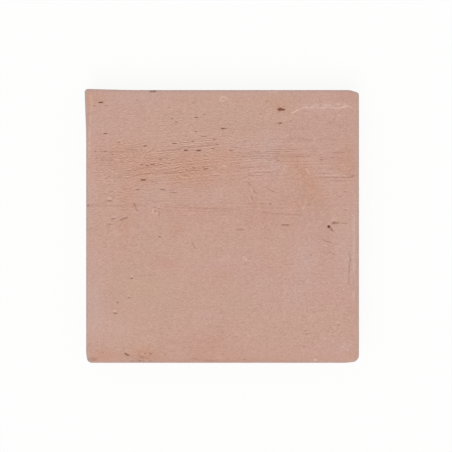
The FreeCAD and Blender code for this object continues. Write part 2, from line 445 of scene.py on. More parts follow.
# Thin lines: pale ridges that were pushed up in the wet clay, and dark cracks, most along the strokes
SCRATCHES = {
    Line.RIDGE: (
        Scratch(((51.2, 83.3), (55.0, 85.4), (60.0, 87.4)), 0.6, 1.1, 0.5),
        Scratch(((60.0, 87.4), (64.6, 87.0), (75.0, 86.9), (86.4, 86.9)), 0.65, 1.2, 0.5),
        Scratch(((86.4, 86.9), (91.6, 88.5)), 0.65, 1.1, 0.6),
        Scratch(((91.6, 88.5), (94.7, 86.9)), 0.4, 1.0, 0.8),
        Scratch(((61.0, 88.6), (80.0, 89.0)), 0.3, 2.2, 1.0),
        Scratch(((79.0, 89.0), (90.0, 90.0)), 0.35, 2.0, 1.0),
        Scratch(((-1.7, 92.8), (-0.9, 94.6), (0.6, 95.0), (3.5, 94.0)), 0.7, 0.9, 0.2),
        Scratch(((3.5, 94.0), (4.3, 92.7), (6.3, 90.3)), 0.3, 0.8, 0.3),
        Scratch(((-0.3, 91.8), (1.8, 92.6)), 0.6, 0.9, 0.2),
        Scratch(((20.3, 28.1), (22.0, 25.4), (23.8, 23.1)), 0.4, 0.8, 0.2),
        Scratch(((19.2, 22.5), (20.6, 19.4)), 0.4, 0.8, 0.2),
        Scratch(((61.2, 42.5), (63.7, 38.4)), 0.5, 0.8, 0.2),
        Scratch(((-50.8, 9.6), (-50.8, 12.1), (-49.9, 13.3)), 0.6, 0.8, 0.2),
        Scratch(((-49.3, 9.4), (-47.5, 10.1)), 0.5, 0.8, 0.2),
        Scratch(((-47.6, 14.2), (-46.2, 14.2)), 0.35, 0.8, 0.2),
        Scratch(((-64.6, 15.4), (-64.2, 14.2)), 0.45, 0.7),
        Scratch(((-63.0, 11.9), (-61.5, 10.6)), 0.35, 0.7),
        Scratch(((96.3, 8.0), (96.2, -12.0), (96.0, -54.0)), 0.35, 1.2, 0.6),
        Scratch(((-96.6, 96.0), (-96.4, 85.0), (-97.2, 70.0), (-97.8, 50.0)), 0.35, 1.2, 0.8),
        Scratch(((45.4, -37.0), (50.0, -37.0)), 0.4, 0.8),
        Scratch(((22.3, 50.6), (27.4, 50.6)), 0.35),
        Scratch(((56.8, 55.6), (93.4, 55.6)), 0.2),
        Scratch(((22.0, 38.4), (34.8, 38.4)), 0.3, 0.7, 0.8),
        Scratch(((75.1, 37.5), (89.7, 37.5)), 0.35, 0.7),
        Scratch(((75.0, 39.5), (81.0, 39.5)), 0.3),
        Scratch(((59.0, 12.8), (61.2, 17.2)), 0.45, 0.8),
        Scratch(((87.0, 13.6), (92.7, 12.7)), 0.35, 0.7),
        Scratch(((-32.6, 58.8), (-16.5, 60.2)), 0.3),
        Scratch(((-78.8, 49.1), (-75.9, 49.1)), 0.4),
        Scratch(((-60.2, 49.1), (-57.3, 49.1)), 0.4),
        Scratch(((-7.2, 38.4), (-2.4, 38.4)), 0.4),
        Scratch(((-28.4, 9.9), (-18.7, 9.9)), 0.3),
        Scratch(((-9.6, 43.4), (1.6, 43.8)), 0.35),
        Scratch(((79.5, -12.8), (86.0, -14.6)), 0.3, 0.8),
        Scratch(((73.0, -11.6), (76.0, -14.4)), 0.3, 0.8),
    ),
    Line.CRACK: (
        Scratch(((34.8, 64.1), (65.6, 64.1)), 0.45),
        Scratch(((9.0, 71.4), (68.0, 71.4)), 0.22),
        Scratch(((45.0, 56.8), (68.0, 56.8)), 0.3),
        Scratch(((12.0, 53.8), (31.0, 53.8)), 0.35),
        Scratch(((70.0, 49.4), (90.0, 49.4)), 0.3),
        Scratch(((-58.0, 50.2), (-34.0, 50.2)), 0.3),
        Scratch(((71.4, 64.4), (75.1, 64.4)), 0.4),
        Scratch(((78.8, 63.1), (83.9, 63.1)), 0.4),
        Scratch(((34.8, 56.5), (45.0, 56.5)), 0.4),
        Scratch(((22.7, 55.0), (27.2, 55.0)), 0.55),
        Scratch(((31.8, 55.0), (42.1, 55.0)), 0.4),
        Scratch(((45.0, 54.9), (51.0, 54.9)), 0.35),
        Scratch(((64.1, 55.1), (69.2, 55.1)), 0.4),
        Scratch(((86.1, 55.8), (94.9, 55.8)), 0.4),
        Scratch(((81.7, 54.2), (89.7, 54.2)), 0.45),
        Scratch(((31.9, 53.5), (42.1, 53.5)), 0.4),
        Scratch(((14.0, 51.4), (64.1, 51.4)), 0.45),
        Scratch(((71.4, 50.6), (73.6, 50.6)), 0.4),
        Scratch(((78.8, 50.6), (86.1, 50.6)), 0.4, 0.6, 0.7),
        Scratch(((20.1, 49.8), (28.9, 49.8)), 0.45),
        Scratch(((31.1, 49.8), (39.9, 49.8)), 0.4),
        Scratch(((33.3, 48.4), (35.5, 48.4)), 0.4),
        Scratch(((39.4, 48.4), (42.1, 48.4)), 0.5),
        Scratch(((14.0, 43.5), (35.0, 43.5)), 0.42),
        Scratch(((18.7, 39.5), (34.8, 39.5)), 0.4, 0.6, 0.8),
        Scratch(((18.7, 37.3), (32.6, 37.3)), 0.4, 0.7, 0.5),
        Scratch(((36.2, 37.3), (48.0, 37.3)), 0.3),
        Scratch(((74.0, 38.8), (79.1, 38.8)), 0.45),
        Scratch(((71.4, 36.4), (84.6, 35.9)), 0.35),
        Scratch(((86.8, 35.9), (94.9, 35.9), (96.0, 37.4), (98.0, 37.4)), 0.5, 0.7),
        Scratch(((78.8, 33.6), (88.3, 33.6)), 0.3),
        Scratch(((60.4, 16.1), (64.1, 16.2)), 0.45, 0.7),
        Scratch(((86.8, 13.0), (91.2, 12.0)), 0.4, 0.7),
        Scratch(((21.1, 21.9), (21.9, 19.8)), 0.6, 0.8, 0.2),
        Scratch(((22.8, 26.3), (23.5, 24.6)), 0.7, 0.9, 0.2),
        Scratch(((18.6, 32.6), (20.3, 30.2)), 0.4, 0.8, 0.2),
        Scratch(((31.8, 28.9), (37.0, 25.3)), 0.4, 0.7),
        Scratch(((-31.7, 57.9), (-16.5, 59.0), (-3.3, 60.1)), 0.5),
        Scratch(((8.4, 57.9), (13.2, 57.9)), 0.4),
        Scratch(((-45.5, 55.3), (-31.2, 56.4)), 0.45),
        Scratch(((-70.0, 56.8), (-62.5, 56.3)), 0.25),
        Scratch(((-89.5, 48.6), (-79.7, 48.6)), 0.45),
        Scratch(((-74.9, 47.7), (-72.0, 47.7)), 0.45),
        Scratch(((-70.0, 40.5), (-64.2, 41.4), (-58.5, 42.5), (-54.6, 43.4)), 0.45),
        Scratch(((-68.3, 36.0), (-61.0, 38.1), (-54.5, 38.9), (-47.2, 40.1)), 0.45),
        Scratch(((-84.0, 35.6), (-73.2, 36.4)), 0.4),
        Scratch(((-93.8, 55.2), (-82.6, 54.9), (-60.1, 54.7)), 0.3),
        Scratch(((-54.6, 43.4), (-46.5, 44.5), (-38.8, 45.2)), 0.2),
        Scratch(((-47.2, 40.1), (-34.3, 41.8), (-22.5, 42.9)), 0.3),
        Scratch(((-92.7, 50.2), (-60.1, 50.2)), 0.25),
        Scratch(((-52.1, 33.2), (-47.3, 32.4)), 0.45),
        Scratch(((-42.9, 38.8), (-26.8, 39.7)), 0.4),
        Scratch(((-15.1, 43.9), (-4.1, 43.9)), 0.4),
        Scratch(((-8.1, 37.4), (-2.6, 37.4)), 0.5),
        Scratch(((-45.6, 27.2), (-42.2, 27.2)), 0.5),
        Scratch(((-38.5, 24.9), (-34.8, 24.9)), 0.45),
        Scratch(((-81.4, 21.7), (-78.8, 21.7)), 0.4),
        Scratch(((-51.0, 18.4), (-48.8, 18.4)), 0.4),
        Scratch(((-98.5, 15.5), (-94.4, 15.5)), 0.55, 0.9),
        Scratch(((-94.4, 15.5), (-76.0, 15.3), (-57.0, 15.7)), 0.25),
        Scratch(
            ((-41.7, 15.0), (-32.1, 15.4), (-22.6, 14.3), (-9.0, 13.3), (2.5, 12.9), (12.8, 12.6)),
            0.33,
        ),
        Scratch(((26.5, 10.6), (31.1, 10.3), (36.5, 9.4), (58.2, 8.6)), 0.35),
        Scratch(((-64.6, 16.8), (-64.0, 14.8)), 0.85, 0.9, 0.1),
        Scratch(((-64.0, 14.8), (-62.2, 11.0)), 0.7, 0.8, 0.2),
        Scratch(((-64.8, 16.4), (-65.3, 13.9)), 0.55, 0.8, 0.2),
        Scratch(((-50.4, 13.9), (-49.1, 13.9)), 0.6, 0.7, 0.2),
        Scratch(((-47.8, 13.4), (-46.0, 12.8)), 0.7, 0.8, 0.2),
        Scratch(((-49.2, 12.0), (-48.9, 10.9)), 0.7, 0.8, 0.2),
        Scratch(((-46.8, 10.5), (-46.4, 8.4)), 0.6, 0.8, 0.2),
        Scratch(((-64.5, -36.5), (-51.0, -35.3)), 0.3),
        Scratch(((93.1, -19.2), (93.6, -24.0), (93.0, -29.5), (92.5, -42.0)), 0.42, 0.8, 0.15),
        Scratch(((96.0, -34.9), (95.8, -47.2)), 0.35, 0.8),
        Scratch(((73.8, -9.7), (76.5, -11.0), (79.5, -12.0)), 0.5, 0.8),
        Scratch(((81.0, -12.9), (84.3, -13.4)), 0.45, 0.8),
        Scratch(((74.0, -18.6), (78.8, -18.9), (82.9, -20.6)), 0.4, 0.7),
        Scratch(((90.6, -59.3), (94.2, -59.3)), 0.35),
        Scratch(((42.5, -2.0), (47.0, -2.0)), 0.35),
        Scratch(((-63.0, -95.0), (-52.0, -94.2)), 0.3, 1.2, 0.9),
        Scratch(((-62.0, -97.2), (-48.0, -96.2)), 0.35, 1.0, 0.9),
        Scratch(((-56.0, -92.6), (-44.0, -92.4)), 0.25, 1.0, 0.9),
        Scratch(((91.0, -62.2), (94.5, -62.2)), 0.3),
        Scratch(((-22.2, -11.8), (-20.2, -15.5)), 0.5),
        Scratch(((-61.6, 1.9), (-61.6, -0.8)), 0.4),
        Scratch(((-23.0, 75.0), (-20.9, 72.2)), 0.4, 0.7),
    ),
}

# Soft clouds of the kiln's colours
BLOTCHES = {
    Tone.SMOKE: (
        Mark(66.0, 9.0, 24.0, 20.0, 0.45),
        Mark(-57.0, -95.0, 30.0, 8.0, 0.4),
        Mark(72.0, -8.0, 16.0, 10.0, 0.35),
        Mark(-56.0, -43.0, 24.0, 10.0, 0.2),
        Mark(-13.0, 30.0, 12.0, 9.0, 0.3),
        Mark(53.0, 22.0, 16.0, 14.0, 0.3),
        Mark(66.0, 19.0, 18.0, 10.0, 0.25),
        Mark(49.0, 50.5, 18.0, 9.0, 0.4, -30),
        Mark(93.0, 93.0, 14.0, 12.0, 0.4),
        Mark(98.0, -30.0, 5.0, 50.0, 0.4),
        Mark(96.0, 47.0, 8.0, 26.0, 0.6),
        Mark(78.0, 72.0, 44.0, 20.0, 0.25),
        Mark(75.0, 55.0, 26.0, 10.0, 0.35),
    ),
    Tone.OCHRE: (
        Mark(-24.0, 45.0, 44.0, 24.0, 0.8),
        Mark(-13.0, 33.0, 16.0, 13.0, 0.4),
        Mark(-60.0, 45.0, 26.0, 26.0, 0.65),
        Mark(-58.0, 34.0, 12.0, 10.0, 0.4),
        Mark(-72.0, 57.0, 22.0, 14.0, 0.35),
        Mark(3.0, 50.0, 22.0, 22.0, 0.4),
        Mark(47.0, 51.0, 20.0, 10.0, 0.5, -35),
        Mark(57.5, 42.0, 20.0, 13.0, 0.62, -52),
        Mark(64.0, 29.5, 21.0, 13.0, 0.7, -70),
        Mark(64.0, 18.0, 20.0, 12.0, 0.28),
        Mark(92.0, 48.0, 14.0, 26.0, 0.6),
        Mark(-57.5, -93.5, 27.0, 10.0, 0.85),
        Mark(-87.0, -94.5, 20.0, 10.0, 0.75),
        Mark(-70.0, 3.0, 12.0, 9.0, 0.4),
        Mark(42.0, 88.0, 20.0, 14.0, 0.4),
        Mark(-95.0, 92.0, 12.0, 10.0, 0.45),
        Mark(92.0, 94.0, 16.0, 11.0, 0.2),
        Mark(32.0, -6.0, 10.0, 14.0, 0.3),
        Mark(10.0, -99.0, 150.0, 7.0, 0.4),
        Mark(-31.0, 34.0, 15.0, 9.0, 0.5),
        Mark(-69.0, 19.0, 10.0, 16.0, 0.4),
        Mark(6.0, 36.0, 14.0, 10.0, 0.25),
        Mark(41.0, 74.0, 10.0, 8.0, 0.25),
        Mark(-78.0, 45.0, 16.0, 14.0, 0.25),
        Mark(2.0, -94.0, 18.0, 8.0, 0.25),
        Mark(-4.0, -21.0, 14.0, 8.0, 0.2),
        Mark(32.0, 45.0, 10.0, 8.0, 0.35),
        Mark(-99.0, 85.0, 5.0, 50.0, 0.5),
    ),
    Tone.ROSE: (
        Mark(-88.0, 50.0, 26.0, 20.0, 0.7),
        Mark(-71.0, 25.0, 10.0, 28.0, 0.8),
        Mark(-72.0, -6.0, 9.0, 26.0, 0.8),
        Mark(-27.0, 12.0, 44.0, 11.0, 0.8),
        Mark(-35.0, -2.0, 12.0, 15.0, 0.6),
        Mark(-4.0, 12.5, 26.0, 8.0, 0.4),
        Mark(27.0, 13.0, 24.0, 26.0, 0.8),
        Mark(50.0, 25.0, 20.0, 20.0, 0.6),
        Mark(47.0, 8.0, 18.0, 18.0, 0.6),
        Mark(35.0, -26.0, 10.0, 16.0, 0.4),
        Mark(-43.5, -27.5, 20.0, 11.0, 1.0),
        Mark(0.0, -36.0, 14.0, 9.0, 0.8),
        Mark(87.0, 43.0, 12.0, 22.0, 0.5),
        Mark(73.0, 30.0, 12.0, 20.0, 0.45),
        Mark(-9.0, -86.0, 42.0, 19.0, 1.0),
        Mark(-17.0, -93.0, 34.0, 12.0, 0.5),
        Mark(5.0, 46.0, 20.0, 18.0, 0.4),
        Mark(97.0, -66.0, 8.0, 50.0, 0.3),
        Mark(-98.0, -45.0, 6.0, 70.0, 0.12),
        Mark(-33.0, 0.0, 10.0, 14.0, 0.55),
        Mark(-14.0, 6.0, 20.0, 8.0, 0.3),
        Mark(58.0, 16.0, 22.0, 9.0, 0.5),
        Mark(19.0, 18.0, 12.0, 22.0, 0.3),
        Mark(25.0, 4.0, 14.0, 10.0, 0.3),
        Mark(28.0, 25.0, 12.0, 14.0, 0.3),
        Mark(94.0, -93.0, 10.0, 7.0, 0.6),
        Mark(51.0, 36.0, 11.0, 9.0, 0.4),
        Mark(27.0, 56.0, 12.0, 10.0, 0.3),
        Mark(-3.0, 61.0, 16.0, 8.0, 0.3),
        Mark(-27.0, 10.0, 16.0, 8.0, 0.2),
        Mark(47.0, -31.0, 12.0, 14.0, 0.25),
    ),
    Tone.BUFF: (
        Mark(-64.0, -43.0, 42.0, 46.0, 0.85),
        Mark(9.0, -57.0, 28.0, 22.0, 0.65),
        Mark(-35.0, -58.0, 34.0, 36.0, 0.6),
        Mark(-35.0, 74.0, 56.0, 36.0, 0.5),
        Mark(-5.0, 89.0, 46.0, 22.0, 0.6),
        Mark(18.0, 78.0, 28.0, 28.0, 0.5),
        Mark(42.0, 86.0, 24.0, 22.0, 0.65),
        Mark(60.0, -72.0, 60.0, 20.0, 0.4),
        Mark(31.0, -76.0, 32.0, 22.0, 0.4),
        Mark(-70.0, -86.0, 36.0, 16.0, 0.6),
        Mark(-82.0, 16.0, 22.0, 36.0, 0.4),
        Mark(-46.0, -13.0, 40.0, 20.0, 0.55),
        Mark(42.0, -14.0, 16.0, 20.0, 0.35),
        Mark(84.0, 5.0, 12.0, 12.0, 0.75),
        Mark(-4.0, -17.0, 20.0, 12.0, 0.2),
        Mark(-50.0, 23.0, 14.0, 12.0, 0.4),
        Mark(4.0, 23.0, 20.0, 12.0, 0.35),
        Mark(-90.0, -6.0, 14.0, 14.0, 0.3),
        Mark(-27.0, -26.0, 20.0, 10.0, 0.3),
        Mark(12.0, -14.0, 12.0, 14.0, 0.25),
        Mark(-35.0, 20.0, 20.0, 8.0, 0.35),
    ),
    Tone.LILAC: (
        Mark(32.0, 55.0, 22.0, 26.0, 0.6),
        Mark(38.0, 44.0, 18.0, 13.0, 0.4),
        Mark(52.0, -56.0, 26.0, 30.0, 0.15),
        Mark(60.0, -26.0, 17.0, 34.0, 0.7),
        Mark(-79.0, -73.0, 30.0, 17.0, 0.2),
        Mark(-86.0, -36.0, 18.0, 30.0, 0.25),
        Mark(72.0, 72.0, 42.0, 24.0, 0.1),
        Mark(-64.0, 74.0, 40.0, 20.0, 0.2),
        Mark(-90.0, 80.0, 22.0, 22.0, 0.25),
        Mark(-60.0, 93.0, 40.0, 12.0, 0.5),
        Mark(2.0, -24.0, 24.0, 14.0, 0.35),
        Mark(90.0, -18.0, 14.0, 48.0, 0.5),
        Mark(-93.0, -56.0, 12.0, 46.0, 0.6),
        Mark(30.0, -42.0, 36.0, 24.0, 0.28),
        Mark(88.0, -88.0, 18.0, 12.0, 0.4),
        Mark(68.0, 88.0, 40.0, 10.0, 0.4),
        Mark(-48.0, 22.0, 20.0, 16.0, 0.4),
        Mark(-99.0, 10.0, 10.0, 190.0, 0.6),
        Mark(99.0, -20.0, 10.0, 130.0, 0.35),
        Mark(10.0, 99.0, 190.0, 8.0, 0.4),
        Mark(-8.0, 20.0, 16.0, 12.0, 0.3),
        Mark(34.0, 21.0, 14.0, 10.0, 0.4),
        Mark(77.0, 34.0, 22.0, 12.0, 0.35),
        Mark(7.0, 60.0, 24.0, 10.0, 0.5),
        Mark(-12.0, -66.0, 16.0, 10.0, 0.35),
        Mark(53.0, -52.0, 20.0, 18.0, 0.1),
        Mark(76.0, -10.0, 18.0, 14.0, 0.15),
        Mark(17.0, -54.0, 18.0, 14.0, 0.2),
        Mark(35.0, 61.0, 20.0, 10.0, 0.25),
        Mark(-94.0, -57.0, 10.0, 24.0, 0.2),
        Mark(38.0, 73.0, 30.0, 14.0, 0.2),
    ),
}

# Where the wiping hand left short marks, and how plainly
WIPED = (
    Mark(-62.0, 46.0, 90.0, 40.0, 0.9, 4),
    Mark(-20.0, 52.0, 80.0, 34.0, 0.8, 4),
    Mark(45.0, 50.0, 110.0, 40.0, 0.3),
    Mark(0.0, 80.0, 210.0, 40.0, 0.4),
    Mark(-80.0, 20.0, 40.0, 40.0, 0.4),
    Mark(-10.0, 14.0, 150.0, 18.0, 0.2),
    Mark(-55.0, -93.0, 40.0, 12.0, 0.5),
)

# Where it combed long lines into the clay
COMBED = (
    Mark(52.0, 53.0, 100.0, 24.0, 0.75),
    Mark(20.0, 38.5, 44.0, 12.0, 0.7),
    Mark(86.0, 37.0, 34.0, 12.0, 0.7),
    Mark(0.0, 66.0, 170.0, 12.0, 0.4),
    Mark(-50.0, 42.0, 90.0, 30.0, 0.8, 5),
    Mark(-18.0, 52.0, 80.0, 24.0, 0.6, 4),
    Mark(-10.0, 14.0, 160.0, 12.0, 0.4),
    Mark(60.0, -36.0, 70.0, 24.0, 0.4),
)


# The tile


@dataclass
class Outline:
    """The tile in plan: the corners and bends of an uneven square, joined by straight runs.

    Each corner is a point and the radius of the arc that rounds it, anticlockwise from the front left.
    """

    half: float
    lean: float = 1.0  # the left edge leans in to the front left corner
    lean_run: float = 7.5
    lift: float = 1.0  # the front edge rises to the front right corner
    lift_run: float = 10.0
    slump: float = 2.0  # the back edge drops to the back right corner
    slump_run: float = 7.0
    flare_left: float = 1.2  # the left and back edges flare out at the back left corner
    flare_back: float = 0.9
    flare_run: float = 32.0
    corner_radii: tuple[float, ...] = (3.7, 5.2, 2.4, 2.5)  # anticlockwise from the front left
    lean_bend: float = 15.0  # radii of the bends between the corners
    lift_bend: float = 25.0
    slump_bend: float = 6.0
    flare_bend: float = 400.0
    corner_places: tuple[int, ...] = (0, 2, 3, 6)  # which of the points below are corners

    def __post_init__(self) -> None:
        """Works out each arc and straight run, with its length."""
        half = self.half
        front_left, front_right, back_right, back_left = self.corner_radii
        points = np.array(
            [
                (-half + self.lean, -half),
                (half - self.lift_run, -half),
                (half, -half + self.lift),
                (half, half - self.slump),
                (half - self.slump_run, half),
                (-half + self.flare_run, half),
                (-half - self.flare_left, half + self.flare_back),
                (-half, half - self.flare_run),
                (-half, -half + self.lean_run),
            ]
        )
        radii = np.array(
            [
                front_left,
                self.lift_bend,
                front_right,
                back_right,
                self.slump_bend,
                self.flare_bend,
                back_left,
                self.flare_bend,
                self.lean_bend,
            ]
        )
        arrive = points - np.roll(points, 1, axis=0)
        arrive /= np.linalg.norm(arrive, axis=1, keepdims=True)
        leave = np.roll(arrive, -1, axis=0)
        self.turn = np.arcsin(arrive[:, 0] * leave[:, 1] - arrive[:, 1] * leave[:, 0])
        straight = np.einsum("ij,ij->i", arrive, leave)
        self.turn = np.where(straight < 0.0, np.sign(self.turn) * np.pi - self.turn, self.turn)
        reach = radii * np.tan(np.abs(self.turn) / 2.0)
        self.arc_start = points - arrive * reach[:, None]
        self.arc_end = points + leave * reach[:, None]
        self.heading = np.arctan2(arrive[:, 1], arrive[:, 0])
        self.radii = radii
        self.leave = leave
        run = np.linalg.norm(np.roll(self.arc_start, -1, axis=0) - self.arc_end, axis=1)
        lengths = np.stack([np.abs(self.turn) * radii, run], axis=1).ravel()
        self.ends = np.concatenate([[0.0], np.cumsum(lengths)])

    @property
    def length(self) -> float:
        """The whole way round."""
        return float(self.ends[-1])

    def corner_middles(self) -> Array:
        """How far round the middle of each corner's arc is, anticlockwise from the front left."""
        first = np.array(self.corner_places) * 2
        return (self.ends[first] + self.ends[first + 1]) / 2.0

    def at(self, way: Array) -> tuple[Array, Array]:
        """Points and outward directions, that far round: arcs turn the heading evenly, runs keep it.

        Args:
            way: Distances round the outline from the start of the front left corner's arc.

        Returns:
            The points, and the outward unit vectors there, each as rows of x and y.
        """
        way = np.mod(way, self.length)
        stretch = np.clip(np.searchsorted(self.ends, way, side="right") - 1, 0, len(self.ends) - 2)
        place = stretch // 2
        gone = way - self.ends[stretch]
        on_arc = stretch % 2 == 0
        side = np.sign(self.turn[place])
        heading = self.heading[place] + np.where(on_arc, side * gone / self.radii[place], self.turn[place])
        first = self.heading[place]
        bow = side * self.radii[place]
        swept = [np.sin(heading) - np.sin(first), np.cos(first) - np.cos(heading)]
        arc = np.stack(swept, axis=1) * bow[:, None]
        run = self.leave[place] * gone[:, None]
        points = np.where(on_arc[:, None], self.arc_start[place] + arc, self.arc_end[place] + run)
        outward = np.stack([np.sin(heading), -np.cos(heading)], axis=1)
        return points, outward


@dataclass
class ClayFace:
    """The relief and the colour masks of the wiped face, as functions of the place on it."""

    half: float
    edge_round: float = 3.5  # corner radius used for the distance to the edge
    edge_fall: float = 0.22  # the face sinks this much towards its edges
    edge_reach: float = 6.0
    headroom: float = 0.14  # the face lies this far under the solid's, which leaves room for raised marks
    swell: float = 0.22  # slow ups and downs
    swell_width: float = 42.0
    groove_depth: float = 0.05
    groove_pitch: float = 1.7
    groove_length: float = 46.0
    grain_relief: float = 0.05  # sandy grain all over
    grain_width: float = 1.7
    grit_depth: float = 0.2
    crack_depth: float = 0.12
    ridge_height: float = 0.12
    edge_notch: Pair = (1.3, 0.9)  # length and width of the notches in the edge of a mark
    mark_ragged: float = 0.2  # how deep they cut into grit and pale marks
    mark_fade: Pair = (1.25, 0.5)  # an oval starts, and is whole, at these shares of its half size
    pit_depth: float = 0.75
    pit_ragged: float = 0.25
    pit_glint: float = 0.7  # how far painted light clears the painted shade from the far wall of a pit
    wall_shift: float = 0.38  # that wall lies this share of the pit's width behind its middle
    wall_length: float = 0.75  # and has these shares of the pit's length and width
    wall_width: float = 0.9
    wall_fade: Pair = (1.15, 0.5)
    pit_lip: float = 0.25  # how pale the painted highlight on a pit's far lip is
    lip_shift: float = 0.75  # the lip lies this share of the pit's width behind its middle
    lip_width: float = 0.7  # and is this share of it wide
    lip_fade: Pair = (1.2, 0.4)
    stroke_rise: float = 10.3  # the strokes climb this much from left to right in the upper half
    stroke_dip: float = -5.1  # and drop this much in the middle of the tile
    stroke_ease: float = 0.6  # share of the climb that is left near the back edge
    stroke_heights: tuple[float, ...] = (-20.0, 12.0, 44.0, 70.0)  # Y of level, drop, climb and ease
    stroke_span: Pair = (-90.0, 50.0)  # they climb between these places along X
    stroke_level: float = 0.06  # how plainly they show all over
    stroke_patch: Pair = (24.0, 5.0)  # length and width of the patches that they come and go in
    stroke_mean: float = 0.75  # how plainly they show in such a patch
    stroke_swing: float = 0.4  # and how far patches differ
    smooth_rim: Pair = (3.0, 8.0)  # they start, and show fully, at these distances from the edge
    fleck_width: float = 1.6  # size of the breaks in a line
    fleck_swing: float = 2.0  # how far a line swells and fades along its length
    fleck_loss: float = 0.5  # how far it fades on the whole
    fleck_peak: float = 1.4  # and the most that it swells to
    warp: float = 2.4  # raggedness of the blotches
    warp_width: float = 11.0
    sharp_margin: float = 0.7  # the mesh is finer this far round a mark, and half as far beside a line

    def edge_distance(self, x: Array, y: Array) -> Array:
        """Distance in from the edge: that of a rounded square, by its usual signed distance.

        Args:
            x: Where it is read, along +X.
            y: Where it is read, along +Y.

        Returns:
            The distance, below 0 outside.
        """
        core = self.half - self.edge_round
        out_x = np.abs(x) - core
        out_y = np.abs(y) - core
        outside = np.hypot(np.maximum(out_x, 0.0), np.maximum(out_y, 0.0))
        return self.edge_round - outside - np.minimum(np.maximum(out_x, out_y), 0.0)

    def stroke(self, x: Array, y: Array) -> Array:
        """The strokes' own height: y, less how far a stroke has climbed on its way from the left.

        Args:
            x: Where it is read, along +X.
            y: Where it is read, along +Y.

        Returns:
            A height that stays the same along each stroke.
        """
        climbs = (0.0, self.stroke_dip, self.stroke_rise, self.stroke_ease * self.stroke_rise)
        climb = np.interp(y, self.stroke_heights, climbs)
        return y - climb * smooth_step(x, *self.stroke_span)

    def stroke_mask(self, marks: tuple[Mark, ...], x: Array, y: Array) -> Array:
        """How plainly strokes show: a low level all over, and soft clouds at places, off the smooth rim.

        Args:
            marks: The places.
            x: Where it is read, along +X.
            y: Where it is read, along +Y.

        Returns:
            The amount, from 0 to 1.
        """
        mask = np.full_like(x, self.stroke_level)
        for mark in marks:
            mask += mark.cloud(x, y)
        length, width = self.stroke_patch
        patches = self.stroke_mean + self.stroke_swing * cloud_noise(x / length, y / width, Seed.STROKE)
        return np.clip(mask * patches, 0.0, 1.0) * smooth_step(self.edge_distance(x, y), *self.smooth_rim)

    def notches(self, x: Array, y: Array, seed: Seed) -> Array:
        """Noise that makes the edges of marks ragged."""
        return cloud_noise(x / self.edge_notch[0], y / self.edge_notch[1], seed, 2)

    def ovals(self, marks: tuple[Mark, ...], x: Array, y: Array, seed: Seed) -> Array:
        """The strongest of several ragged ovals: strength inside, falling softly to 0 past the edge.

        Args:
            marks: The ovals.
            x: Where they are read, along +X.
            y: Where they are read, along +Y.
            seed: Picks the raggedness of their edges.

        Returns:
            The amount, from 0 to 1.
        """
        ragged = self.mark_ragged * self.notches(x, y, seed)
        total = np.zeros_like(x)
        for mark in marks:
            near = mark.near(x, y)
            reach = mark.reach(x[near], y[near]) + ragged[near]
            total[near] = np.maximum(total[near], mark.strength * smooth_step(reach, *self.mark_fade))
        return total

    def hollows(self, x: Array, y: Array) -> tuple[Array, Array, Array]:
        """The pits, lit from the front: a ragged oval each, with painted shade on its near wall and a
        painted highlight on its far lip.

        The painted shade is the oval less most of a smaller one that lies towards its far wall, which
        leaves a crescent. The painted highlight is a thin oval beyond the far wall.

        Args:
            x: Where they are read, along +X.
            y: Where they are read, along +Y.

        Returns:
            The amounts of hollow, painted shade and painted highlight.
        """
        ragged = self.pit_ragged * self.notches(x, y, Seed.PIT_EDGE)
        hollow, dark, lip = (np.zeros_like(x) for _ in range(3))
        for pit in PITS:
            near = pit.near(x, y)
            place = x[near], y[near]
            wall = replace(
                pit,
                y=pit.y + self.wall_shift * pit.width,
                length=self.wall_length * pit.length,
                width=self.wall_width * pit.width,
            )
            edge = replace(pit, y=pit.y + self.lip_shift * pit.width, width=self.lip_width * pit.width)
            whole = pit.strength * smooth_step(pit.reach(*place) + ragged[near], *self.mark_fade)
            lit = smooth_step(wall.reach(*place) + ragged[near], *self.wall_fade)
            pale = pit.strength * smooth_step(edge.reach(*place) + ragged[near], *self.lip_fade)
            hollow[near] = np.maximum(hollow[near], whole)
            # Painted shade on the near wall, cleared from the far wall by painted light, and a painted
            # highlight on the far lip
            dark[near] = np.maximum(dark[near], whole * (1.0 - self.pit_glint * lit))
            lip[near] = np.maximum(lip[near], self.pit_lip * pale)
        return hollow, dark, lip

    def sharp(self, x: Array, y: Array) -> Array:
        """Where the mesh has to be fine: on each pit, grit, pale mark and line, and a little way round it.

        Args:
            x: Where it is read, along +X.
            y: Where it is read, along +Y.

        Returns:
            True where the mesh has to be fine.
        """
        fine = np.zeros(x.shape, dtype=bool)
        wider = 2.0 * self.sharp_margin
        for mark in PITS + GRITS + CHALKS_AND_HIGHLIGHTS:
            fine |= replace(mark, length=mark.length + wider, width=mark.width + wider).reach(x, y) < 1.0
        for scratch in (*SCRATCHES[Line.RIDGE], *SCRATCHES[Line.CRACK]):
            fine |= scratch.distance(x, y) < scratch.width / 2.0 + self.sharp_margin / 2.0
        return fine

